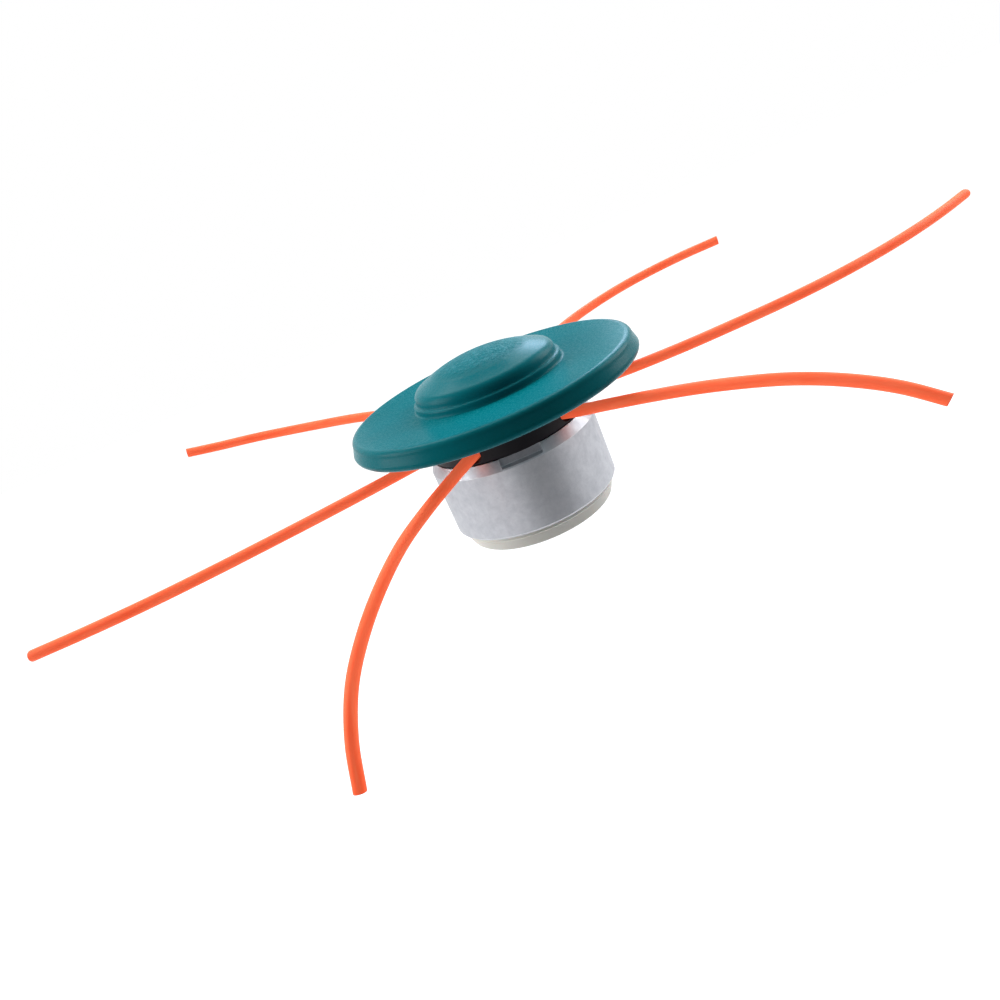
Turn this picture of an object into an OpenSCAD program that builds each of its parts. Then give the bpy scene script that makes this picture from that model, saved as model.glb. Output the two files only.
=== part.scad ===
// Fixed line trimmer head: six stiff cutting ends held by a two-part clamp, with a gliding cap in
// front and a drive collar behind. +Z runs along the spin axis towards the cap, and the origin is the
// mouth of the spindle thread, in the plane of the head's rear face. Millimetres.

/* [Cap] */
// Diameter of the disc at the crease of its front face
cap_d = 100; // [96:1:130]
// Height of the disc's rim
cap_rim_h = 7; // [6:0.5:9]
// How much further out the foot of the rim stands than the crease
cap_flare = 1.1; // [0:0.1:2]
// Wall of the moulded cap
cap_wall = 3; // [2.4:0.2:3.4]
// How far the front face falls from the crease to the boss
cap_dish = 0.8; // [0.4:0.1:1.2]
// Height of the crease over the line clamp
cap_rise = 9; // [8.5:0.5:11]
// Radius at the crease, between the front face and the rim
crease_round = 2; // [1:0.25:3]
// Radius at the foot of the rim
rim_round = 2; // [1:0.25:2.5]
// How far the boss's wall stands in from the line clamp's edge
boss_in = 2.4; // [1.5:0.1:4]
// Height over the crease at which the dome, left sharp, would meet the boss's wall
boss_h = 4.8; // [4.6:0.2:7]
// Height of the dome over that
dome_h = 5.7; // [4:0.1:7]
// Radius between the boss's wall and its dome
dome_round = 3.5; // [1:0.25:3.5]
// How much wider than the boss its foot is
foot_out = 1.2; // [0.8:0.1:2]
// Height of the boss's foot over the front face
foot_h = 2.4; // [1:0.1:2.4]
// Wall of the ring that fits over the line clamp
hub_wall = 2.5; // [2:0.25:3.5]
// How far that ring reaches down the line clamp
hub_overlap = 2.5; // [1.5:0.25:3]
// Number of ribs under the disc
rib_count = 12; // [6:6:18]
// Thickness of a rib
rib_t = 2; // [1.6:0.2:2.6]

/* [Line clamp] */
// How far both halves reach past the circle of the screws
clamp_reach = 8.45; // [8:0.05:10]
// Thickness of the rear half behind the channels
rear_floor = 1.55; // [1.3:0.05:2.5]
// Thickness of the front half
clamp_front_h = 6; // [5.5:0.5:8]
// Bevel on the rear half's edge
clamp_bevel = 0.6; // [0.3:0.1:1]
// Diameter of the line
line_d = 3.8; // [3.3:0.1:4]
// Room around the line in its channel
line_room = 0.15; // [0.12:0.01:0.2]
// Angle between each leg of a line and the middle of its pair
leg_angle = 20; // [16:1:24]
// Widest radius of a channel's mouth
mouth_r = 2.9; // [2.4:0.1:3]
// Length of a channel's mouth
mouth_len = 3; // [2:0.5:4]

/* [Bushes and screws] */
// Room around a screw head, to the arbor's hub and to the collar's wall
head_room = 1.25; // [0.8:0.05:2]
// Outer diameter of a bush
bush_d = 12; // [11:0.2:12.4]
// How far a bush reaches past the line on each side
bush_over = 0.5; // [0.3:0.05:0.8]
// Thread diameter of the clamp screws
screw_d = 5; // [4:0.5:5]
// Length of a clamp screw under its head
screw_len = 25; // [22:1:26]
// Diameter of a screw head
head_d = 8.5; // [7:0.5:8.5]
// Height of a screw head
head_h = 5; // [4:0.5:5]
// Width across the flats of a screw's socket
socket_af = 4; // [3:0.5:4]
// Thickness of a screw's spring washer
screw_washer_h = 1.2; // [1:0.1:1.4]
// Width of a screw's spring washer around the thread
screw_washer_w = 1.8; // [1.4:0.1:2]
// Outer diameter of a threaded insert
insert_d = 7; // [6.6:0.1:7.4]
// Length of a threaded insert
insert_len = 8; // [6:0.5:9]
// Wall of the post around an insert
post_wall = 2; // [1.6:0.2:2.4]
// Diameter of a locating pin
pin_d = 2.5; // [2:0.5:3]
// Length of a locating pin
pin_len = 5; // [4:0.5:5.5]
// How far a locating pin stands in from the clamp's edge
pin_in = 3.2; // [3:0.1:3.6]

/* [Drive collar] */
// How much further out the collar stands than the line clamp
collar_out = 2.1; // [1.6:0.1:3]
// Length of the collar
collar_h = 26.6; // [25:0.2:30]
// Thickness of the web behind the line clamp
web_h = 8; // [7:0.5:10]
// Height of the front bevel
bevel_h = 3.3; // [2.8:0.1:3.6]
// Width of the front bevel
bevel_w = 2; // [1:0.1:2.2]
// Bevel on the collar's rear edge
rear_bevel = 0.8; // [0.4:0.1:1.2]
// Number of spanner notches in the front edge
notch_count = 3; // [1:1:6]
// Width of a notch
notch_w = 14; // [10:1:16]
// Depth of a notch
notch_h = 2.8; // [2:0.1:3.2]
// How far a notch reaches in from the side
notch_in = 4; // [3.5:0.25:5]
// Turn of the notches from the middles of the gaps between the pairs of line ends
notch_turn = -6; // [-20:1:20]
// Wall around the arbor's hexagon
hub_boss_wall = 2.4; // [2:0.1:2.6]

/* [Dust ring] */
// Length of the ring that shows behind the collar
ring_h = 5.8; // [5.5:0.1:7]
// How far the ring tapers in towards its rear face
ring_taper = 1.8; // [1:0.1:3.6]
// How far the ring stands in from the collar's side
ring_step = 1.4; // [1:0.1:3]
// How far the ring's lip reaches in from the collar's pocket
ring_lip = 3; // [2:0.25:4]
// How much wider than the collar's pocket the spigot is, on each side
spigot_step = 1.5; // [1:0.1:2]
// Length of the spigot
spigot_h = 5; // [3:0.5:7]

/* [Arbor] */
// Thread diameter of the machine's spindle
spindle_d = 10; // [8:1:10]
// Depth of the spindle thread
spindle_depth = 28; // [20:1:32]
// How far the arbor's flange stands out past the flats of its hexagon
flange_out = 3; // [2:0.25:3.5]
// Thickness of the arbor's flange
flange_h = 4; // [3:0.5:5]
// How far the flats of the hexagon stand out past the shank
hex_out = 2.5; // [1.5:0.25:3]
// Length of the hexagon
hex_h = 9; // [7:0.5:11]
// Wall of the arbor around the spindle
arbor_wall = 2; // [1.5:0.25:2.5]
// How far the shank stands out of the nut
shank_proud = 1.5; // [1:0.5:2.5]
// Width of the plain washer
washer_w = 5.3; // [4:0.1:5.6]
// Thickness of the plain washer
washer_h = 1.5; // [1:0.25:2]
// Width of the spring washer
spring_washer_w = 3.4; // [2.5:0.1:4]
// Thickness of the spring washer
spring_washer_h = 2; // [1.5:0.25:2.5]
// How far the flats of the nut stand out past the shank
nut_out = 3.5; // [3:0.25:4]
// Height of the nut
nut_h = 7; // [6:0.5:7.5]

/* [Hidden] */
// Running clearance between parts that slide together by hand
slide_fit = 0.1;
// Clearance of a screw in its hole
screw_fit = 0.25;
// Small overlap that joins two solids
join = 0.01;
// Pairs of line ends, and the directions of the middles of the pairs
pair_angles = [90, 210, 330];
screw_angles = [30 : 60 : 330];
// Directions half way between the pairs, where the locating pins are
gap_angles = [30, 150, 270];
$fn = 96;

line_r = line_d / 2;
bush_r = bush_d / 2;
head_r = head_d / 2;
cap_r = cap_d / 2;

// Radii, from the spindle outwards
spindle_bore_r = (spindle_d - 1.2) / 2;
shank_r = spindle_d / 2 + arbor_wall;
hex_af = 2 * (shank_r + hex_out);
flange_r = hex_af / 2 + flange_out;
hub_boss_r = hex_af / sqrt(3) + slide_fit + hub_boss_wall;
screw_circle_r = hub_boss_r + head_room + head_r;
pocket_r = screw_circle_r + head_r + head_room;
clamp_r = screw_circle_r + clamp_reach;
boss_r = clamp_r - boss_in;
collar_r = clamp_r + collar_out;
ring_front_r = collar_r - ring_step;
ring_rear_r = ring_front_r - ring_taper;
ring_bore_r = pocket_r - ring_lip;
spigot_r = pocket_r + spigot_step;
pin_circle_r = clamp_r - pin_in;

// Heights, from the rear face forwards
collar_z = ring_h;
clamp_z = collar_z + collar_h;
clamp_rear_h = line_r + line_room + rear_floor;
line_z = clamp_z + clamp_rear_h;
cap_z = line_z + clamp_front_h;
crease_z = cap_z + cap_rise;
rim_z = crease_z - cap_rim_h;
boss_z = crease_z + boss_h;
apex_z = boss_z + dome_h;
web_z = clamp_z - web_h;
screw_z = web_z - screw_washer_h;

// Dome as part of a sphere over the boss
dome_r = (boss_r * boss_r + dome_h * dome_h) / (2 * dome_h);
dome_z = apex_z - dome_r;

hole_r = screw_d / 2 + screw_fit;
hub_r = clamp_r + 2 * slide_fit;
channel_w = line_d + 2 * line_room;
// Radius of a line's middle where it goes round its bush
loop_r = bush_r + line_r + line_room;
bush_h = line_d + 2 * bush_over;

// Routes of the six free ends, from the clamp's edge outwards
end_a = [
    [-11.5, 27, 36], [-18, 41.5, 37], [-26.5, 54.5, 38.5], [-37, 67, 40], [-49.5, 78, 41.5],
    [-63, 87, 43], [-77.5, 94, 45], [-92.5, 98.5, 47.5], [-107, 100.5, 50], [-121, 101, 53]
];
end_b = [
    [-29, -3.5, 36], [-49, -7, 35.8], [-69, -9.2, 35.4], [-89.5, -10.5, 34.9],
    [-110, -11, 34.3], [-130.5, -10.4, 33.7], [-151, -8.9, 33.3], [-171, -6.5, 33]
];
end_c = [
    [-17.5, -23.5, 36], [-27.5, -34, 35], [-37, -43.5, 33.5], [-46.5, -52.5, 31], [-56, -62, 26.5],
    [-65, -70.5, 20], [-73, -78.5, 11.5], [-78.5, -85, 1], [-82.5, -89, -12]
];
end_d = [
    [17.5, -23.5, 36], [28, -33, 36], [38, -42, 35.9], [48.5, -50.8, 35.3], [59.3, -59, 33.8],
    [70.3, -66.8, 31.3], [81, -74, 27.3], [91.3, -80.8, 21.8], [101, -87, 14.5]
];
end_e = [
    [29, -3.5, 36], [48, -6.3, 35.4], [66, -7.3, 34.8], [84, -7, 34.3], [102, -5.7, 33.7],
    [120, -3.3, 33.2], [137.5, 0.5, 32.8], [155, 5.5, 32.5], [172, 11.7, 32.3], [188.5, 19, 32.2],
    [204.5, 27, 32.3]
];
end_f = [
    [11.5, 27, 36], [18.5, 42, 37.1], [27.8, 56, 38.3], [39.5, 68.5, 39.4], [53, 79, 40.3],
    [68.5, 87.5, 41], [84.5, 93.2, 41.6], [101, 96.2, 42], [117.3, 96.7, 42.3], [133.5, 94.5, 42.5]
];

teal = [0.02, 0.42, 0.46];
black = [0.05, 0.05, 0.06];
orange = [1.0, 0.33, 0.15];
silver = [0.72, 0.73, 0.75];
cream = [0.84, 0.83, 0.76];
steel = [0.55, 0.56, 0.58];
brass = [0.78, 0.62, 0.30];

// Points on an arc about [x, y] from one angle to another
function arc(x, y, r, from, to, steps) =
    [for (i = [0 : steps]) let (a = from + (to - from) * i / steps) [x + r * cos(a), y + r * sin(a)]];

module at_angles(angles, radius) {
    for (a = angles) {
        rotate([0, 0, a]) {
            translate([radius, 0, 0]) {
                children();
            }
        }
    }
}

module hexagon(af, h) {
    cylinder(h = h, r = af / sqrt(3), $fn = 6);
}

module tube(r_out, r_in, h) {
    difference() {
        cylinder(h = h, r = r_out);
        translate([0, 0, -1]) {
            cylinder(h = h + 2, r = r_in);
        }
    }
}

// Ring cut through on one side, as a spring washer is
module split_ring(r_out, r_in, h, slit) {
    difference() {
        tube(r_out, r_in, h);
        translate([0, -slit / 2, -1]) {
            cube([r_out + 1, slit, h + 2]);
        }
    }
}

// Outline of the cap's outside, from the axis to the foot of the rim
function cap_outline() =
    let (
        round_x = boss_r - dome_round,
        round_y = dome_z + sqrt(pow(dome_r - dome_round, 2) - pow(round_x, 2)),
        dome_end = atan2(round_y - dome_z, round_x),
        foot_r = boss_r + foot_out,
        foot_z = crease_z - cap_dish + foot_h,
        rim_r = cap_r + cap_flare
    )
    concat(
        arc(0, dome_z, dome_r, 90, dome_end, 12),
        arc(round_x, round_y, dome_round, dome_end, 0, 5),
        [[boss_r, foot_z + 0.3], [boss_r + 0.3, foot_z], [foot_r - 0.4, foot_z], [foot_r, foot_z - 0.4]],
        [[foot_r, crease_z - cap_dish + 0.3], [foot_r + 0.3, crease_z - cap_dish]],
        arc(cap_r - crease_round, crease_z - crease_round, crease_round, 90, 0, 5),
        arc(rim_r - rim_round, rim_z + rim_round, rim_round, 0, -90, 5),
        [[0, rim_z]]
    );

// Hollow of the boss, open to the line clamp
function boss_hollow() =
    let (
        in_r = boss_r - cap_wall,
        in_dome_r = dome_r - cap_wall,
        in_z = dome_z + sqrt(in_dome_r * in_dome_r - in_r * in_r)
    )
    concat(
        [[0, rim_z - 1], [in_r, rim_z - 1]],
        arc(0, dome_z, in_dome_r, atan2(in_z - dome_z, in_r), 90, 10)
    );

module cap_shell() {
    under_z = crease_z - cap_wall;
    rotate_extrude() {
        difference() {
            polygon(cap_outline());
            polygon(boss_hollow());
            translate([0, rim_z - 1]) {
                square([cap_r - cap_wall, under_z - rim_z + 1]);
            }
        }
    }
}

// Sockets for the clamp screws, standing from the clamp up into the wall of the dome
module cap_posts() {
    intersection() {
        at_angles(screw_angles, screw_circle_r) {
            translate([0, 0, cap_z]) {
                cylinder(h = apex_z - cap_z, r = insert_d / 2 + post_wall);
            }
        }
        translate([0, 0, dome_z]) {
            sphere(r = dome_r - cap_wall / 2);
        }
    }
}

module cap_ribs() {
    under_z = crease_z - cap_wall + join;
    rib_z = rim_z + 1.2;
    for (i = [0 : rib_count - 1]) {
        rotate([0, 0, (i + 0.5) * 360 / rib_count]) {
            translate([hub_r + hub_wall / 2, -rib_t / 2, rib_z]) {
                cube([cap_r - cap_wall / 2 - hub_r - hub_wall / 2, rib_t, under_z - rib_z]);
            }
        }
    }
    post_edge = screw_circle_r + insert_d / 2;
    for (a = screw_angles) {
        rotate([0, 0, a]) {
            translate([post_edge, -rib_t / 2, cap_z + 0.8]) {
                cube([hub_r + hub_wall / 2 - post_edge, rib_t, under_z - cap_z - 0.8]);
            }
        }
    }
}

module cap() {
    color(teal) {
        difference() {
            union() {
                cap_shell();
                cap_posts();
                cap_ribs();
                translate([0, 0, cap_z - hub_overlap]) {
                    tube(hub_r + hub_wall, hub_r, crease_z - cap_wall / 2 - cap_z + hub_overlap);
                }
            }
            at_angles(screw_angles, screw_circle_r) {
                translate([0, 0, cap_z - 1]) {
                    cylinder(h = insert_len + 1.5, r = insert_d / 2 + slide_fit / 2);
                    cylinder(h = screw_z + screw_len + 1 - (cap_z - 1), r = hole_r);
                }
            }
        }
    }
}

module thread_inserts() {
    color(brass) {
        at_angles(screw_angles, screw_circle_r) {
            translate([0, 0, cap_z + 0.2]) {
                difference() {
                    cylinder(h = insert_len, r = insert_d / 2);
                    translate([0, 0, -1]) {
                        cylinder(h = insert_len + 2, r = screw_d / 2 + 0.05);
                    }
                    translate([0, 0, insert_len / 2 - 0.6]) {
                        tube(insert_d, insert_d / 2 - 0.5, 1.2);
                    }
                }
            }
        }
    }
}

// Outline of one line's channel, seen along the axis, about the middle of its pair
module channel_outline() {
    turn = 90 + leg_angle;
    translate([screw_circle_r, 0]) {
        intersection() {
            difference() {
                circle(r = loop_r + channel_w / 2);
                circle(r = loop_r - channel_w / 2);
            }
            polygon(concat([[0, 0]], arc(0, 0, 3 * loop_r, turn, 360 - turn, 4)));
        }
        for (side = [1, -1]) {
            rotate(side * leg_angle) {
                translate([-join, side * loop_r - channel_w / 2]) {
                    square([clamp_r, channel_w]);
                }
            }
        }
    }
}

// Everything that both halves of the clamp leave room for
module clamp_room() {
    for (a = pair_angles) {
        rotate([0, 0, a]) {
            translate([0, 0, line_z - channel_w / 2]) {
                linear_extrude(channel_w) {
                    channel_outline();
                }
            }
            for (side = [1, -1]) {
                translate([screw_circle_r, 0, line_z]) {
                    rotate([0, 0, side * leg_angle]) {
                        translate([leg_len() - mouth_len, side * loop_r, 0]) {
                            rotate([0, 90, 0]) {
                                cylinder(h = 2 * mouth_len, r1 = line_r, r2 = 2 * mouth_r - line_r);
                            }
                        }
                    }
                }
            }
        }
    }
    at_angles(pair_angles, screw_circle_r) {
        translate([0, 0, line_z - bush_h / 2 - slide_fit]) {
            cylinder(h = bush_h + 2 * slide_fit, r = bush_r + slide_fit);
        }
    }
    at_angles(screw_angles, screw_circle_r) {
        translate([0, 0, clamp_z - 1]) {
            cylinder(h = clamp_rear_h + clamp_front_h + 2, r = hole_r);
        }
    }
    at_angles(gap_angles, pin_circle_r) {
        translate([0, 0, line_z - pin_len / 2 - slide_fit]) {
            cylinder(h = pin_len + 2 * slide_fit, r = pin_d / 2 + slide_fit / 2);
        }
    }
    translate([0, 0, clamp_z - 1]) {
        cylinder(h = clamp_rear_h + clamp_front_h + 2, r = shank_r + slide_fit);
    }
}

// Length of a straight leg from its bush to the clamp's edge
function leg_len() =
    let (
        start = [screw_circle_r - loop_r * sin(leg_angle), loop_r * cos(leg_angle)],
        along = start * [cos(leg_angle), sin(leg_angle)]
    )
    sqrt(along * along - start * start + clamp_r * clamp_r) - along;

module line_clamp_front() {
    color(black) {
        difference() {
            translate([0, 0, line_z]) {
                cylinder(h = clamp_front_h, r = clamp_r);
            }
            clamp_room();
        }
    }
}

module line_clamp_rear() {
    color(black) {
        difference() {
            union() {
                translate([0, 0, clamp_z]) {
                    cylinder(h = clamp_bevel, r1 = clamp_r - clamp_bevel, r2 = clamp_r);
                }
                translate([0, 0, clamp_z + clamp_bevel]) {
                    cylinder(h = clamp_rear_h - clamp_bevel, r = clamp_r);
                }
            }
            clamp_room();
        }
    }
}

module locating_pins() {
    color(steel) {
        at_angles(gap_angles, pin_circle_r) {
            translate([0, 0, line_z - pin_len / 2]) {
                cylinder(h = pin_len, r = pin_d / 2);
            }
        }
    }
}

// Middle of a line where it goes round the bush of the pair at that angle
function loop_points(angle) =
    [for (a = [90 + leg_angle : (180 - 2 * leg_angle) / 7 : 270 - leg_angle + 1])
        let (x = screw_circle_r + loop_r * cos(a), y = loop_r * sin(a))
        [x * cos(angle) - y * sin(angle), x * sin(angle) + y * cos(angle), line_z]];

function reversed(list) = [for (i = [len(list) - 1 : -1 : 0]) list[i]];

function unit(v) = v / norm(v);

// One ring of a swept tube, square to the route at point i
function tube_ring(route, i, r, sides) =
    let (
        last = len(route) - 1,
        way = unit(route[min(i + 1, last)] - route[max(i - 1, 0)]),
        across = unit(cross([0, 0, 1], way)),
        up = cross(way, across)
    )
    [for (k = [0 : sides - 1]) route[i] + r * (cos(360 * k / sides) * across + sin(360 * k / sides) * up)];

module swept_tube(route, d, sides) {
    rings = len(route);
    points = [for (i = [0 : rings - 1]) each tube_ring(route, i, d / 2, sides)];
    walls = [for (i = [0 : rings - 2]) for (k = [0 : sides - 1])
        [i * sides + k, i * sides + (k + 1) % sides, (i + 1) * sides + (k + 1) % sides, (i + 1) * sides + k]];
    first_end = [for (k = [sides - 1 : -1 : 0]) k];
    last_end = [for (k = [0 : sides - 1]) (rings - 1) * sides + k];
    polyhedron(points = points, faces = concat([first_end], [last_end], walls));
}

// One length of line: in from its first free end, round its bush and out to its second free end
module line(first_end, second_end, angle) {
    color(orange) {
        swept_tube(concat(reversed(first_end), loop_points(angle), second_end), line_d, 8);
    }
}

module line_1() {
    line(end_a, end_f, pair_angles[0]);
}

module line_2() {
    line(end_c, end_b, pair_angles[1]);
}

module line_3() {
    line(end_e, end_d, pair_angles[2]);
}

module line_bush(angle) {
    color(steel) {
        at_angles([angle], screw_circle_r) {
            translate([0, 0, line_z - bush_h / 2]) {
                tube(bush_r, hole_r, bush_h);
            }
        }
    }
}

module line_bush_1() {
    line_bush(pair_angles[0]);
}

module line_bush_2() {
    line_bush(pair_angles[1]);
}

module line_bush_3() {
    line_bush(pair_angles[2]);
}

module collar_blank() {
    rotate_extrude() {
        polygon([
            [0, collar_z],
            [collar_r - rear_bevel, collar_z],
            [collar_r, collar_z + rear_bevel],
            [collar_r, clamp_z - bevel_h],
            [collar_r - bevel_w, clamp_z],
            [0, clamp_z]
        ]);
    }
}

// Pocket behind the web, left solid round the arbor
module collar_pocket() {
    translate([0, 0, collar_z - 1]) {
        tube(pocket_r, hub_boss_r, web_z - collar_z + 1);
        cylinder(h = spigot_h + 1 + 2 * slide_fit, r = spigot_r + slide_fit);
    }
}

function notch_angles() =
    [for (i = [0 : notch_count - 1]) gap_angles[0] + notch_turn + i * 360 / notch_count];

module drive_collar() {
    color(silver) {
        difference() {
            union() {
                difference() {
                    collar_blank();
                    collar_pocket();
                }
                translate([0, 0, flange_h]) {
                    cylinder(h = web_z - flange_h + join, r = hub_boss_r);
                }
            }
            translate([0, 0, flange_h - 1]) {
                hexagon(hex_af + 2 * slide_fit, hex_h + 1 + slide_fit);
                cylinder(h = clamp_z, r = shank_r + slide_fit);
            }
            at_angles(screw_angles, screw_circle_r) {
                translate([0, 0, web_z - 1]) {
                    cylinder(h = web_h + 2, r = hole_r);
                }
            }
            at_angles(notch_angles(), collar_r - notch_in) {
                translate([0, -notch_w / 2, clamp_z - notch_h]) {
                    cube([notch_in + 1, notch_w, notch_h + 1]);
                }
            }
        }
    }
}

module dust_ring() {
    lip = 1.2;
    color(cream) {
        rotate_extrude() {
            polygon([
                [ring_bore_r, 0.6],
                [ring_bore_r + 0.6, 0],
                [ring_rear_r - 0.5, 0],
                [ring_rear_r, 0.5],
                [ring_front_r - 0.4, ring_h - lip - 0.4],
                [ring_front_r, ring_h - lip],
                [ring_front_r, ring_h],
                [spigot_r, ring_h],
                [spigot_r, ring_h + spigot_h - 0.5],
                [spigot_r - 0.5, ring_h + spigot_h],
                [ring_bore_r, ring_h + spigot_h]
            ]);
        }
    }
}

module arbor() {
    top_z = cap_z + washer_h + spring_washer_h + nut_h + shank_proud;
    color(steel) {
        difference() {
            union() {
                cylinder(h = flange_h, r = flange_r);
                translate([0, 0, flange_h - join]) {
                    hexagon(hex_af, hex_h + join);
                }
                rotate_extrude() {
                    polygon([[0, 1], [shank_r, 1], [shank_r, top_z - 1], [shank_r - 1, top_z], [0, top_z]]);
                }
            }
            translate([0, 0, -1]) {
                cylinder(h = spindle_depth + 1, r = spindle_bore_r);
            }
            translate([0, 0, spindle_depth - join]) {
                cylinder(h = spindle_bore_r * 0.6, r1 = spindle_bore_r, r2 = 0);
            }
        }
    }
}

module arbor_washer() {
    color(steel) {
        translate([0, 0, cap_z]) {
            tube(shank_r + washer_w, shank_r + slide_fit, washer_h);
        }
    }
}

module arbor_spring_washer() {
    color(steel) {
        translate([0, 0, cap_z + washer_h]) {
            split_ring(shank_r + spring_washer_w, shank_r + slide_fit, spring_washer_h, 1);
        }
    }
}

module arbor_nut() {
    flat_r = shank_r + nut_out;
    corner_r = 2 * flat_r / sqrt(3);
    color(steel) {
        translate([0, 0, cap_z + washer_h + spring_washer_h]) {
            difference() {
                intersection() {
                    hexagon(2 * flat_r, nut_h);
                    rotate_extrude() {
                        polygon([
                            [0, 0],
                            [corner_r, 0],
                            [corner_r, nut_h - 0.8],
                            [flat_r, nut_h],
                            [0, nut_h]
                        ]);
                    }
                }
                translate([0, 0, -1]) {
                    cylinder(h = nut_h + 2, r = shank_r + slide_fit / 2);
                }
            }
        }
    }
}

module clamp_screws() {
    color(steel) {
        at_angles(screw_angles, screw_circle_r) {
            difference() {
                union() {
                    translate([0, 0, screw_z - head_h]) {
                        cylinder(h = 0.5, r1 = head_r - 0.5, r2 = head_r);
                    }
                    translate([0, 0, screw_z - head_h + 0.5]) {
                        cylinder(h = head_h - 0.5, r = head_r);
                    }
                    translate([0, 0, screw_z - join]) {
                        cylinder(h = screw_len + join, r = screw_d / 2);
                    }
                }
                translate([0, 0, screw_z - head_h - 1]) {
                    hexagon(socket_af, head_h / 2 + 1);
                }
            }
        }
    }
}

module screw_washers() {
    color(steel) {
        at_angles(screw_angles, screw_circle_r) {
            translate([0, 0, screw_z]) {
                split_ring(screw_d / 2 + screw_washer_w, screw_d / 2 + slide_fit, screw_washer_h, 0.8);
            }
        }
    }
}

cap();
thread_inserts();
line_clamp_front();
line_clamp_rear();
locating_pins();
line_1();
line_2();
line_3();
line_bush_1();
line_bush_2();
line_bush_3();
drive_collar();
dust_ring();
arbor();
arbor_washer();
arbor_spring_washer();
arbor_nut();
clamp_screws();
screw_washers();
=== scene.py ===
"""Looks of a fixed line trimmer head: a domed gliding cap, six line ends and a drive collar.

+Z points along the spin axis towards the cap, and the origin is at the mouth of the thread that
takes the spindle. Lengths are in metres, apart from the lines' routes, which are in millimetres.
"""

import math

import bpy
import numpy as np
from mathutils import Matrix, Vector


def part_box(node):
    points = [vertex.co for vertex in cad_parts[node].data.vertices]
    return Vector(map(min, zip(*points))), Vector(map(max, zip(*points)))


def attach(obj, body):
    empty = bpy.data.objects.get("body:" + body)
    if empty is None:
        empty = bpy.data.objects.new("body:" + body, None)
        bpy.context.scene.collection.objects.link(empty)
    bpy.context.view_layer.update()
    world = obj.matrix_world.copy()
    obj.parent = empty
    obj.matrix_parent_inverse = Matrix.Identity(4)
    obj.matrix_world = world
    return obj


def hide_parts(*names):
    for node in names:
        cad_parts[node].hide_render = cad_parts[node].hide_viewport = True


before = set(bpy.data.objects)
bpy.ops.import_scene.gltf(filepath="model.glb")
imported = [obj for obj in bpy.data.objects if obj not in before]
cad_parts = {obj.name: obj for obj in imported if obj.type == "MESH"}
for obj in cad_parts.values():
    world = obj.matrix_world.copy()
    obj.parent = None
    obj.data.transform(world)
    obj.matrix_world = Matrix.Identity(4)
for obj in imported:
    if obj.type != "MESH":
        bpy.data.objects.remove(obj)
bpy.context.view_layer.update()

BODY = "root"
MM = 0.001

# The camera stands where the round edges of the cap and the collar say that it stood
CAMERA_PLACE = Vector((-0.0340, -0.2771, 0.1175))
VIEW_HEADING = math.radians(4.49)
VIEW_PITCH = math.radians(-21.12)
VIEW_ROLL = math.radians(23.7)
FOCAL_PIXELS = 850.0
IMAGE_PIXELS = 1000.0
SENSOR_WIDTH = 36.0
NEAREST_SEEN = 0.01


def make_camera():
    level = math.cos(VIEW_PITCH)
    forward = Vector((
        math.sin(VIEW_HEADING) * level,
        math.cos(VIEW_HEADING) * level,
        math.sin(VIEW_PITCH),
    ))
    level_right = Vector((math.cos(VIEW_HEADING), -math.sin(VIEW_HEADING), 0.0))
    level_up = level_right.cross(forward)
    right = level_right * math.cos(VIEW_ROLL) - level_up * math.sin(VIEW_ROLL)
    up = right.cross(forward)
    data = bpy.data.cameras.new("camera")
    data.sensor_width = SENSOR_WIDTH
    data.lens = SENSOR_WIDTH * FOCAL_PIXELS / IMAGE_PIXELS
    data.clip_start = NEAREST_SEEN
    camera = bpy.data.objects.new("camera", data)
    bpy.context.scene.collection.objects.link(camera)
    turn = Matrix((right, up, -forward)).transposed().to_4x4()
    camera.matrix_world = Matrix.Translation(CAMERA_PLACE) @ turn
    bpy.context.scene.camera = camera


# Lines

LINE_R = 1.9 * MM
LINE_SIDES = 28

# A line in its clamp, in millimetres and degrees: a loop round a bush, and a leg to either side
LINE_Z = 36.0
BUSH_CIRCLE_R = 18.97
LOOP_R = 8.05
LEG_ANGLE = 20.0
PAIR_ANGLES = {"line_1": 90.0, "line_2": 210.0, "line_3": 330.0}
HALF_LOOP_STEPS = 7

# Steps of the tube between two points of a route
ROUTE_STEPS = 6

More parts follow.
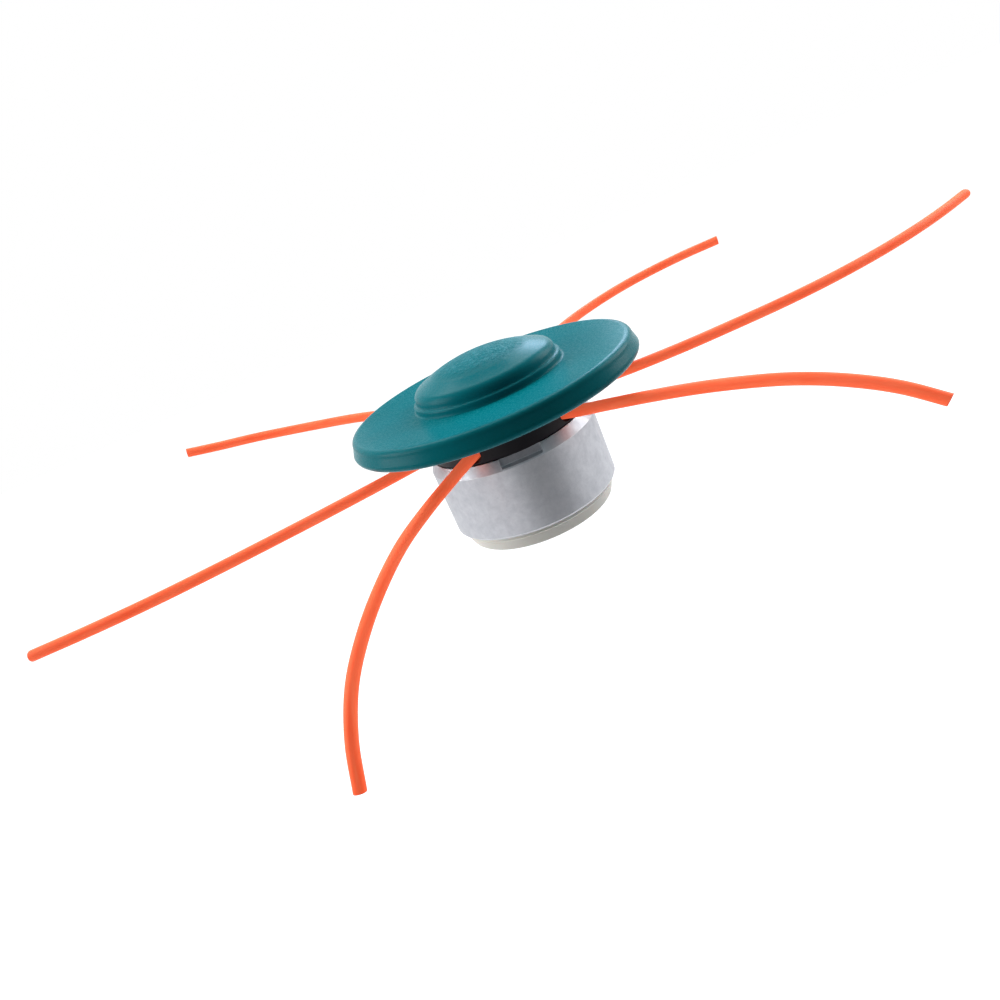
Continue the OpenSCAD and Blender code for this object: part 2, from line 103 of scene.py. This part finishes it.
# Routes of the free ends, from the clamp's edge outwards, in millimetres
FREE_ENDS = {
    "a": [
        (-11.5, 27, 36), (-18, 41.5, 37), (-26.5, 54.5, 38.5), (-37, 67, 40), (-49.5, 78, 41.5),
        (-63, 87, 43), (-77.5, 94, 45), (-92.5, 98.5, 47.5), (-107, 100.5, 50), (-121, 101, 53),
    ],
    "b": [
        (-29, -3.5, 36), (-49, -7, 35.8), (-69, -9.2, 35.4), (-89.5, -10.5, 34.9),
        (-110, -11, 34.3), (-130.5, -10.4, 33.7), (-151, -8.9, 33.3), (-171, -6.5, 33),
    ],
    "c": [
        (-17.5, -23.5, 36), (-27.5, -34, 35), (-37, -43.5, 33.5), (-46.5, -52.5, 31),
        (-56, -62, 26.5), (-65, -70.5, 20), (-73, -78.5, 11.5), (-78.5, -85, 1), (-82.5, -89, -12),
    ],
    "d": [
        (17.5, -23.5, 36), (28, -33, 36), (38, -42, 35.9), (48.5, -50.8, 35.3), (59.3, -59, 33.8),
        (70.3, -66.8, 31.3), (81, -74, 27.3), (91.3, -80.8, 21.8), (101, -87, 14.5),
    ],
    "e": [
        (29, -3.5, 36), (48, -6.3, 35.4), (66, -7.3, 34.8), (84, -7, 34.3), (102, -5.7, 33.7),
        (120, -3.3, 33.2), (137.5, 0.5, 32.8), (155, 5.5, 32.5), (172, 11.7, 32.3),
        (188.5, 19, 32.2), (204.5, 27, 32.3),
    ],
    "f": [
        (11.5, 27, 36), (18.5, 42, 37.1), (27.8, 56, 38.3), (39.5, 68.5, 39.4), (53, 79, 40.3),
        (68.5, 87.5, 41), (84.5, 93.2, 41.6), (101, 96.2, 42), (117.3, 96.7, 42.3),
        (133.5, 94.5, 42.5),
    ],
}

# Which line each free end belongs to, and on which side of its pair it leaves
END_OF_LINE = {
    "a": ("line_1", 1), "f": ("line_1", -1),
    "b": ("line_2", -1), "c": ("line_2", 1),
    "d": ("line_3", -1), "e": ("line_3", 1),
}

# Slope of the cut at each free end, sideways
CUT_SLANT = {"a": 0.15, "b": -0.25, "c": 0.12, "d": -0.3, "e": 0.45, "f": -0.2}
# Rings that round off a cut end: share of the radius, and how far back in shares of the radius
CUT_RINGS = ((1.0, 0.10), (0.985, 0.05), (0.94, 0.015), (0.86, 0.0), (0.45, -0.01))
# Stands in the layer around_along for the length, on the cut faces
CUT_MARK = -10.0


def half_loop(line, side):
    """From the middle of the loop on its bush to where the straight leg starts."""
    pair = math.radians(PAIR_ANGLES[line])
    points = []
    for i in range(HALF_LOOP_STEPS + 1):
        angle = math.radians(180.0 - (90.0 - LEG_ANGLE) * i / HALF_LOOP_STEPS)
        x = BUSH_CIRCLE_R + LOOP_R * math.cos(angle)
        y = side * LOOP_R * math.sin(angle)
        points.append((
            x * math.cos(pair) - y * math.sin(pair),
            x * math.sin(pair) + y * math.cos(pair),
            LINE_Z,
        ))
    return points


def smooth_route(points):
    """Points on one smooth curve through the given ones, a cubic from each to the next."""
    p = np.array(points, float)
    p = np.vstack([2 * p[0] - p[1], p, 2 * p[-1] - p[-2]])
    gap = np.linalg.norm(np.diff(p, axis=0), axis=1)
    out = []
    for i in range(1, len(p) - 2):
        before, start, stop, after = p[i - 1:i + 3]
        straight = (stop - start) / gap[i]
        leave = straight + (start - before) / gap[i - 1] - (stop - before) / (gap[i - 1] + gap[i])
        reach = straight + (after - stop) / gap[i + 1] - (after - start) / (gap[i] + gap[i + 1])
        for k in range(ROUTE_STEPS):
            t = k / ROUTE_STEPS
            out.append(
                (2 * t**3 - 3 * t**2 + 1) * start + (t**3 - 2 * t**2 + t) * gap[i] * leave
                + (-2 * t**3 + 3 * t**2) * stop + (t**3 - t**2) * gap[i] * reach
            )
    out.append(p[-2])
    return np.array(out)


def lengths_along(route):
    """How far along the route each of its points lies."""
    steps = np.linalg.norm(np.diff(route, axis=0), axis=1)
    return np.concatenate([[0.0], np.cumsum(steps)])


def link_mesh(name, verts, faces):
    mesh = bpy.data.meshes.new(name)
    mesh.from_pydata([tuple(v) for v in verts], [], faces)
    mesh.validate()
    mesh.update()
    mesh.shade_smooth()
    piece = bpy.data.objects.new(name, mesh)
    bpy.context.scene.collection.objects.link(piece)
    return piece


def square_to(direction, across):
    """The unit vector square to the direction that lies nearest to across."""
    across = across - direction * np.dot(across, direction)
    return across / np.linalg.norm(across)


def ring(centre, direction, across, radius, slant):
    """Points round a centre, square to the direction or at a slant to it."""
    up = np.cross(across, direction)
    points = []
    for k in range(LINE_SIDES):
        angle = 2 * math.pi * k / LINE_SIDES
        offset = math.cos(angle) * (across + slant * direction) + math.sin(angle) * up
        points.append(centre + radius * offset)
    return points


def tube_verts(route, radius, slant):
    """Rings along the route, and over the rounded edge of the cut at its far end."""
    way = np.gradient(route, axis=0)
    way /= np.linalg.norm(way, axis=1)[:, None]
    across = np.cross(way[0], (0.0, 0.0, 1.0))
    verts = []
    for centre, direction in zip(route[:-1], way[:-1]):
        across = square_to(direction, across)
        verts += ring(centre, direction, across, radius, 0.0)
    across = square_to(way[-1], across)
    for share, back in CUT_RINGS:
        centre = route[-1] - way[-1] * radius * (abs(slant) + back)
        verts += ring(centre, way[-1], across, radius * share, slant)
    return verts


def tube_faces(ring_count):
    """The near end, the wall from ring to ring, and the far end."""
    faces = [tuple(reversed(range(LINE_SIDES)))]
    for near in range(0, (ring_count - 1) * LINE_SIDES, LINE_SIDES):
        far = near + LINE_SIDES
        for k in range(LINE_SIDES):
            n = (k + 1) % LINE_SIDES
            faces.append((near + k, near + n, far + n, far + k))
    last = (ring_count - 1) * LINE_SIDES
    faces.append(tuple(range(last, last + LINE_SIDES)))
    return faces


def add_around_along(piece, lengths):
    """A layer with the share of a turn and, in millimetres, the length along the route."""
    body_rings = len(lengths) - len(CUT_RINGS)
    first_cut_face = 1 + (body_rings + 1) * LINE_SIDES
    layer = piece.data.uv_layers.new(name="around_along")
    for face in piece.data.polygons:
        is_cut = face.index >= first_cut_face
        closes_turn = any(v % LINE_SIDES == LINE_SIDES - 1 for v in face.vertices)
        for loop in face.loop_indices:
            at_ring, side = divmod(piece.data.loops[loop].vertex_index, LINE_SIDES)
            turn = 1.0 if closes_turn and side == 0 else side / LINE_SIDES
            layer.data[loop].uv = (turn, CUT_MARK if is_cut else lengths[at_ring] / MM)


def tube_piece(name, route, radius, slant):
    """A round tube along the route, its far end cut off at a slant with a rounded edge."""
    along = lengths_along(route)
    lengths = [*along[:-1], *[along[-1]] * len(CUT_RINGS)]
    piece = link_mesh(name, tube_verts(route, radius, slant), tube_faces(len(lengths)))
    add_around_along(piece, lengths)
    return piece


def make_lines(material):
    for end, (line, side) in END_OF_LINE.items():
        route = smooth_route(half_loop(line, side) + FREE_ENDS[end]) * MM
        piece = tube_piece(f"line_end_{end}", route, LINE_R, CUT_SLANT[end])
        piece.data.materials.append(material)
        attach(piece, BODY)
        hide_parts(line)


# Nodes of a material

# Most of a noise lies between these
NOISE_SPAN = (0.3, 0.7)
NONE_TO_FULL = (0.0, 1.0)

# How like the rounded normal is to the flat one, from a flat stretch to a sharp edge
EDGE_SPAN = (1.0, 0.85)

# The Mix node's sockets for colours, which have the same names as its others
MIX_COLOURS = (6, 7)
MIX_RESULT = 2


def new_material(name):
    material = bpy.data.materials.new(name)
    material.use_nodes = True
    nodes = material.node_tree.nodes
    links = material.node_tree.links
    shader = nodes["Principled BSDF"]
    return material, nodes, links, shader


def put(links, socket, value):
    """Link another node's output, or set a number, vector or colour."""
    if isinstance(value, bpy.types.NodeSocket):
        links.new(value, socket)
    elif socket.type == "RGBA":
        socket.default_value = (*value, 1.0)
    else:
        socket.default_value = value


def fill(links, shader, values):
    for name, value in values.items():
        put(links, shader.inputs[name], value)


def object_place(nodes):
    return nodes.new("ShaderNodeTexCoord").outputs["Object"]


def split_xyz(nodes, links, vector):
    node = nodes.new("ShaderNodeSeparateXYZ")
    links.new(vector, node.inputs[0])
    return tuple(node.outputs)


def noise(nodes, links, vector, scale, detail, roughness=0.55):
    node = nodes.new("ShaderNodeTexNoise")
    node.inputs["Scale"].default_value = scale
    node.inputs["Detail"].default_value = detail
    node.inputs["Roughness"].default_value = roughness
    links.new(vector, node.inputs["Vector"])
    return node.outputs["Fac"]


def colour_ramp(nodes, links, factor, dark, light, span=NOISE_SPAN):
    """From the dark colour to the light one as the factor goes from end to end of its span."""
    node = nodes.new("ShaderNodeValToRGB")
    for element, place, colour in zip(node.color_ramp.elements, span, (dark, light)):
        element.position = place
        element.color = (*colour, 1.0)
    links.new(factor, node.inputs["Fac"])
    return node.outputs["Color"]


def map_range(nodes, links, value, span, to_span):
    node = nodes.new("ShaderNodeMapRange")
    limits = zip(("From Min", "From Max", "To Min", "To Max"), (*span, *to_span))
    for name, limit in limits:
        node.inputs[name].default_value = limit
    links.new(value, node.inputs["Value"])
    return node.outputs["Result"]


def mix_colour(nodes, links, factor, first, second):
    node = nodes.new("ShaderNodeMix")
    node.data_type = "RGBA"
    put(links, node.inputs["Factor"], factor)
    for index, colour in zip(MIX_COLOURS, (first, second)):
        put(links, node.inputs[index], colour)
    return node.outputs[MIX_RESULT]


def math_node(nodes, links, operation, first, second=0.0):
    node = nodes.new("ShaderNodeMath")
    node.operation = operation
    put(links, node.inputs[0], first)
    put(links, node.inputs[1], second)
    return node.outputs[0]


def vector_node(nodes, links, operation, first, second=(0.0, 0.0, 0.0)):
    node = nodes.new("ShaderNodeVectorMath")
    node.operation = operation
    put(links, node.inputs[0], first)
    put(links, node.inputs[1], second)
    return node.outputs


def bump(nodes, links, height, normal=None, *, distance, strength):
    node = nodes.new("ShaderNodeBump")
    node.inputs["Distance"].default_value = distance
    node.inputs["Strength"].default_value = strength
    links.new(height, node.inputs["Height"])
    if normal is not None:
        links.new(normal, node.inputs["Normal"])
    return node.outputs["Normal"]


def rounded_normal(nodes, radius, samples):
    """The normal that the surface would have if its edges were rounded."""
    node = nodes.new("ShaderNodeBevel")
    node.samples = samples
    node.inputs["Radius"].default_value = radius
    return node.outputs["Normal"]


def sharp_edge_mask(nodes, links, radius):
    """1 on sharp edges, and 0 on flat stretches."""
    rounded = rounded_normal(nodes, radius, samples=4)
    flat = nodes.new("ShaderNodeNewGeometry").outputs["Normal"]
    likeness = vector_node(nodes, links, "DOT_PRODUCT", rounded, flat)["Value"]
    return map_range(nodes, links, likeness, EDGE_SPAN, NONE_TO_FULL)


# Moulded plastic of the cap, scuffed on the dome's top by the ground
CAP_DARK = (0.0, 0.160, 0.190)
CAP_LIGHT = (0.001, 0.190, 0.226)
CAP_SCUFFED = (0.07, 0.32, 0.38)
# How far below the top the scuffs start, and from where up they are full
SCUFF_DEPTHS = (2.9 * MM, 1.5 * MM)
# Width over which the cap's edges look rounded
SOFT_EDGE = 1.2 * MM


def cap_plastic():
    material, nodes, links, shader = new_material("cap_plastic")
    place = object_place(nodes)
    cloud = noise(nodes, links, place, scale=38.0, detail=4.0)
    grain = noise(nodes, links, place, scale=1500.0, detail=3.0)
    ripple = noise(nodes, links, place, scale=120.0, detail=2.0)
    scratches = noise(nodes, links, place, scale=700.0, detail=4.0, roughness=0.65)

    height = split_xyz(nodes, links, place)[2]
    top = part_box("cap")[1].z
    scuff_heights = [top - depth for depth in SCUFF_DEPTHS]
    on_top = map_range(nodes, links, height, scuff_heights, NONE_TO_FULL)
    scuffed = math_node(nodes, links, "MULTIPLY", on_top, scratches)
    pale = map_range(nodes, links, scuffed, (0.48, 0.62), (0.0, 0.55))
    colour = colour_ramp(nodes, links, cloud, CAP_DARK, CAP_LIGHT)

    smooth = map_range(nodes, links, grain, NOISE_SPAN, (0.23, 0.31))
    rougher = math_node(nodes, links, "MULTIPLY", scuffed, 0.25)

    normal = rounded_normal(nodes, SOFT_EDGE, samples=8)
    normal = bump(nodes, links, grain, normal, distance=0.05 * MM, strength=0.5)
    normal = bump(nodes, links, ripple, normal, distance=0.08 * MM, strength=0.6)
    normal = bump(nodes, links, scuffed, normal, distance=0.9 * MM, strength=0.9)
    fill(links, shader, {
        "Base Color": mix_colour(nodes, links, pale, colour, CAP_SCUFFED),
        "Roughness": math_node(nodes, links, "ADD", smooth, rougher),
        "Normal": normal,
        "Specular IOR Level": 0.05,
    })
    return material


# Black plastic of the line clamp
CLAMP_DARK = (0.008, 0.007, 0.010)
CLAMP_LIGHT = (0.016, 0.014, 0.018)


def clamp_plastic():
    material, nodes, links, shader = new_material("clamp_plastic")
    place = object_place(nodes)
    cloud = noise(nodes, links, place, scale=90.0, detail=3.0)
    grain = noise(nodes, links, place, scale=1800.0, detail=2.0)
    fill(links, shader, {
        "Base Color": colour_ramp(nodes, links, cloud, CLAMP_DARK, CLAMP_LIGHT),
        "Roughness": map_range(nodes, links, grain, NOISE_SPAN, (0.42, 0.58)),
        "Normal": bump(nodes, links, grain, distance=0.04 * MM, strength=0.5),
        "Specular IOR Level": 0.2,
    })
    return material


# Nylon line. Its streaks follow its length, and each millimetre moves their noise on by a little.
NYLON_DARK = (0.97, 0.112, 0.038)
NYLON_LIGHT = (1.0, 0.175, 0.072)
NYLON_PALE = (1.0, 0.185, 0.09)
# Painted shade: the cut faces are darker than the rest of the line
NYLON_CUT_SHADE = (0.62, 0.040, 0.012)
STREAK_PER_MM = 0.05
# Painted light: the line glows in its own colour, standing for the light that comes through it
NYLON_PAINTED_GLOW = 0.57


def streaks(nodes, links, turn, along):
    angle = math_node(nodes, links, "MULTIPLY", turn, 2 * math.pi)
    place = nodes.new("ShaderNodeCombineXYZ")
    links.new(math_node(nodes, links, "COSINE", angle), place.inputs["X"])
    links.new(math_node(nodes, links, "SINE", angle), place.inputs["Y"])
    links.new(math_node(nodes, links, "MULTIPLY", along, STREAK_PER_MM), place.inputs["Z"])
    return noise(nodes, links, place.outputs[0], scale=1.3, detail=2.0)


def line_nylon():
    material, nodes, links, shader = new_material("line_nylon")
    coordinates = nodes.new("ShaderNodeTexCoord").outputs
    turn, along, _ = split_xyz(nodes, links, coordinates["UV"])
    streak = streaks(nodes, links, turn, along)
    cloud = noise(nodes, links, coordinates["Object"], scale=60.0, detail=3.0)

    pale = map_range(nodes, links, cloud, (0.35, 0.7), (0.0, 0.4))
    on_cut = math_node(nodes, links, "LESS_THAN", along, CUT_MARK / 2)
    colour = colour_ramp(nodes, links, streak, NYLON_DARK, NYLON_LIGHT)
    colour = mix_colour(nodes, links, pale, colour, NYLON_PALE)
    # Painted shade on the cut faces
    colour = mix_colour(nodes, links, on_cut, colour, NYLON_CUT_SHADE)
    fill(links, shader, {
        "Base Color": colour,
        "Emission Color": colour,
        # Painted light: a glow in the line's own colour
        "Emission Strength": NYLON_PAINTED_GLOW,
        "Subsurface Weight": 0.3,
        "Subsurface Radius": (1.0, 0.6, 0.4),
        "Subsurface Scale": 1.5 * MM,
        "Roughness": map_range(nodes, links, streak, NOISE_SPAN, (0.48, 0.62)),
        "Normal": bump(nodes, links, streak, distance=0.06 * MM, strength=0.5),
        "Specular IOR Level": 0.08,
    })
    return material


# Cast and turned aluminium of the collar: blotched, with dark specks and bright edges
COLLAR_DARK = (0.43, 0.445, 0.485)
COLLAR_LIGHT = (0.54, 0.555, 0.59)
COLLAR_SPECK = (0.35, 0.36, 0.39)
COLLAR_EDGE = (0.82, 0.83, 0.86)


def collar_aluminium():
    material, nodes, links, shader = new_material("collar_aluminium")
    place = object_place(nodes)
    blotch = noise(nodes, links, place, scale=300.0, detail=7.0, roughness=0.72)
    fine = noise(nodes, links, place, scale=1100.0, detail=4.0, roughness=0.65)

    speck = map_range(nodes, links, fine, (0.62, 0.74), (0.0, 0.35))
    # Lighter within half a millimetre of sharp edges
    edge = sharp_edge_mask(nodes, links, 0.5 * MM)
    colour = colour_ramp(nodes, links, blotch, COLLAR_DARK, COLLAR_LIGHT, span=(0.32, 0.68))
    colour = mix_colour(nodes, links, speck, colour, COLLAR_SPECK)
    colour = mix_colour(nodes, links, edge, colour, COLLAR_EDGE)
    normal = bump(nodes, links, fine, distance=0.06 * MM, strength=0.7)
    normal = bump(nodes, links, blotch, normal, distance=0.12 * MM, strength=0.6)
    fill(links, shader, {
        "Base Color": colour,
        "Metallic": 0.75,
        "Roughness": map_range(nodes, links, blotch, NOISE_SPAN, (0.50, 0.42)),
        "Normal": normal,
    })
    return material


# Plastic of the dust ring
RING_DARK = (0.86, 0.85, 0.77)
RING_LIGHT = (0.92, 0.91, 0.84)


def ring_plastic():
    material, nodes, links, shader = new_material("ring_plastic")
    place = object_place(nodes)
    cloud = noise(nodes, links, place, scale=70.0, detail=4.0)
    grain = noise(nodes, links, place, scale=1300.0, detail=3.0)
    fill(links, shader, {
        "Base Color": colour_ramp(nodes, links, cloud, RING_DARK, RING_LIGHT),
        "Roughness": map_range(nodes, links, grain, NOISE_SPAN, (0.45, 0.6)),
        "Normal": bump(nodes, links, grain, distance=0.05 * MM, strength=0.5),
        "Subsurface Weight": 0.1,
        "Subsurface Scale": 1.0 * MM,
    })
    return material


# Zinc-plated steel, and the left-hand thread in the arbor
STEEL_DARK = (0.50, 0.50, 0.50)
STEEL_LIGHT = (0.66, 0.66, 0.66)
THREAD_PITCH = 1.25 * MM
THREAD_R = 4.5 * MM


def thread_ridge(nodes, links, place):
    """A helical ridge wherever the surface lies inside THREAD_R."""
    x, y, z = split_xyz(nodes, links, place)
    angle = math_node(nodes, links, "ARCTAN2", y, x)
    turn = math_node(nodes, links, "DIVIDE", angle, 2 * math.pi)
    rise = math_node(nodes, links, "DIVIDE", z, THREAD_PITCH)
    phase = math_node(nodes, links, "FRACT", math_node(nodes, links, "ADD", rise, turn))
    ridge = math_node(nodes, links, "PINGPONG", phase, 0.5)
    sideways = vector_node(nodes, links, "MULTIPLY", place, (1.0, 1.0, 0.0))["Vector"]
    radius = vector_node(nodes, links, "LENGTH", sideways)["Value"]
    inside = math_node(nodes, links, "LESS_THAN", radius, THREAD_R)
    return math_node(nodes, links, "MULTIPLY", ridge, inside)


def plated_steel(name, threaded):
    material, nodes, links, shader = new_material(name)
    place = object_place(nodes)
    cloud = noise(nodes, links, place, scale=160.0, detail=4.0)
    fine = noise(nodes, links, place, scale=1400.0, detail=3.0)
    normal = bump(nodes, links, fine, distance=0.03 * MM, strength=0.5)
    if threaded:
        ridge = thread_ridge(nodes, links, place)
        normal = bump(nodes, links, ridge, normal, distance=1.0 * MM, strength=1.0)
    fill(links, shader, {
        "Base Color": colour_ramp(nodes, links, cloud, STEEL_DARK, STEEL_LIGHT),
        "Metallic": 1.0,
        "Roughness": map_range(nodes, links, fine, NOISE_SPAN, (0.28, 0.42)),
        "Normal": normal,
    })
    return material


# Brass of the thread inserts
BRASS_DARK = (0.60, 0.42, 0.16)
BRASS_LIGHT = (0.75, 0.56, 0.24)


def turned_brass():
    material, nodes, links, shader = new_material("brass")
    cloud = noise(nodes, links, object_place(nodes), scale=200.0, detail=3.0)
    fill(links, shader, {
        "Base Color": colour_ramp(nodes, links, cloud, BRASS_DARK, BRASS_LIGHT),
        "Metallic": 1.0,
        "Roughness": map_range(nodes, links, cloud, NOISE_SPAN, (0.28, 0.4)),
    })
    return material


def dress(node, material):
    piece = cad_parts[node]
    piece.data.materials.clear()
    piece.data.materials.append(material)


def dress_nodes(nylon):
    steel = plated_steel("steel", threaded=False)
    black = clamp_plastic()
    looks = {
        "cap": cap_plastic(),
        "line_clamp_front": black,
        "line_clamp_rear": black,
        "drive_collar": collar_aluminium(),
        "dust_ring": ring_plastic(),
        "thread_inserts": turned_brass(),
        "arbor": plated_steel("threaded_steel", threaded=True),
        **{line: nylon for line in PAIR_ANGLES},
    }
    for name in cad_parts:
        dress(name, looks.get(name, steel))


# Studio

WHITE = (1.0, 1.0, 1.0)
COOL_WHITE = (0.58, 0.76, 1.0)
MATT = 0.9

# Where lamps and cards face
MIDDLE = Vector((0.0, 0.0, 0.04))

# The world's light from the front to the back, by a direction's share of +Y
SKY_SPAN = (-0.2, 0.8)
SKY_LIGHT = (0.04, 0.60)

FLOOR_Z = -0.30
FLOOR_SIZE = 6.0
# What lamps see of the floor, and what the eye sees of it besides its glow
FLOOR_LIT = (0.6, 0.6, 0.6)
FLOOR_SEEN = (0.35, 0.35, 0.35)
FLOOR_GLOW = 0.95

CARD_BLACK = (0.01, 0.01, 0.01)


def white_to_eye(nodes, links):
    """1 for rays that bring the background to the eye, and 0 for those that bring light."""
    ray = nodes.new("ShaderNodeLightPath").outputs
    seen = math_node(nodes, links, "MAXIMUM", ray["Is Camera Ray"], ray["Is Glossy Ray"])
    return math_node(nodes, links, "MAXIMUM", seen, ray["Is Transmission Ray"])


def make_world():
    """White to look at. The light that it gives falls off from the back to the front."""
    world = bpy.data.worlds.new("studio")
    bpy.context.scene.world = world
    world.use_nodes = True
    nodes, links = world.node_tree.nodes, world.node_tree.links
    direction = nodes.new("ShaderNodeTexCoord").outputs["Generated"]
    glow = map_range(nodes, links, split_xyz(nodes, links, direction)[1], SKY_SPAN, SKY_LIGHT)
    light = nodes.new("ShaderNodeCombineColor")
    for channel in light.inputs:
        links.new(glow, channel)
    colour = mix_colour(nodes, links, white_to_eye(nodes, links), light.outputs[0], WHITE)
    links.new(colour, nodes["Background"].inputs["Color"])


def flat_card(name, width, height, z=0.0):
    corners = ((-1, -1), (1, -1), (1, 1), (-1, 1))
    verts = [(x * width / 2, y * height / 2, z) for x, y in corners]
    return link_mesh(name, verts, [(0, 1, 2, 3)])


def stand_at(thing, place):
    """Put a lamp or card in its place, with its face to the middle."""
    thing.location = place
    thing.rotation_euler = (MIDDLE - Vector(place)).to_track_quat("-Z", "Y").to_euler()


def make_floor():
    """White to look at. Part of that is its own lit surface, so that a shadow stays on it."""
    floor = flat_card("floor", FLOOR_SIZE, FLOOR_SIZE, FLOOR_Z)
    material, nodes, links, shader = new_material("floor_white")
    seen = white_to_eye(nodes, links)
    fill(links, shader, {
        "Base Color": mix_colour(nodes, links, seen, FLOOR_LIT, FLOOR_SEEN),
        "Roughness": MATT,
        "Emission Color": WHITE,
        "Emission Strength": math_node(nodes, links, "MULTIPLY", seen, FLOOR_GLOW),
    })
    floor.data.materials.append(material)


def make_lamp(name, place, size, power, colour=WHITE):
    data = bpy.data.lights.new(name, "AREA")
    data.shape = "RECTANGLE"
    data.size, data.size_y = size
    data.energy = power
    data.color = colour
    lamp = bpy.data.objects.new(name, data)
    bpy.context.scene.collection.objects.link(lamp)
    lamp.visible_camera = False
    stand_at(lamp, place)


def make_black_card(name, place, size):
    """Keeps surfaces that face it dark.

    The camera doesn't see it, and it holds back no lamp's light.
    """
    card = flat_card(name, *size)
    stand_at(card, place)
    material, nodes, links, shader = new_material(name)
    fill(links, shader, {"Base Color": CARD_BLACK, "Roughness": MATT})
    card.data.materials.append(material)
    card.visible_camera = False
    card.visible_shadow = False


def make_lights():
    make_lamp("top_back", (0.0, 0.45, 0.85), size=(0.9, 0.6), power=7.5)
    make_lamp("left", (-0.90, 0.10, 0.40), size=(0.6, 0.6), power=6.0)
    make_lamp("right", (0.90, 0.20, 0.40), size=(0.6, 0.6), power=6.0)
    make_lamp("glint", (0.42, 0.79, 0.50), size=(0.40, 0.34), power=4.0, colour=COOL_WHITE)
    make_black_card("flag_front", (0.10, -0.55, -0.10), size=(0.70, 0.50))
    make_black_card("flag_back", (0.08, 0.66, 0.50), size=(0.34, 0.75))


make_camera()
nylon = line_nylon()
make_lines(nylon)
dress_nodes(nylon)
make_world()
make_floor()
make_lights()

bpy.context.scene.view_settings.view_transform = "Standard"
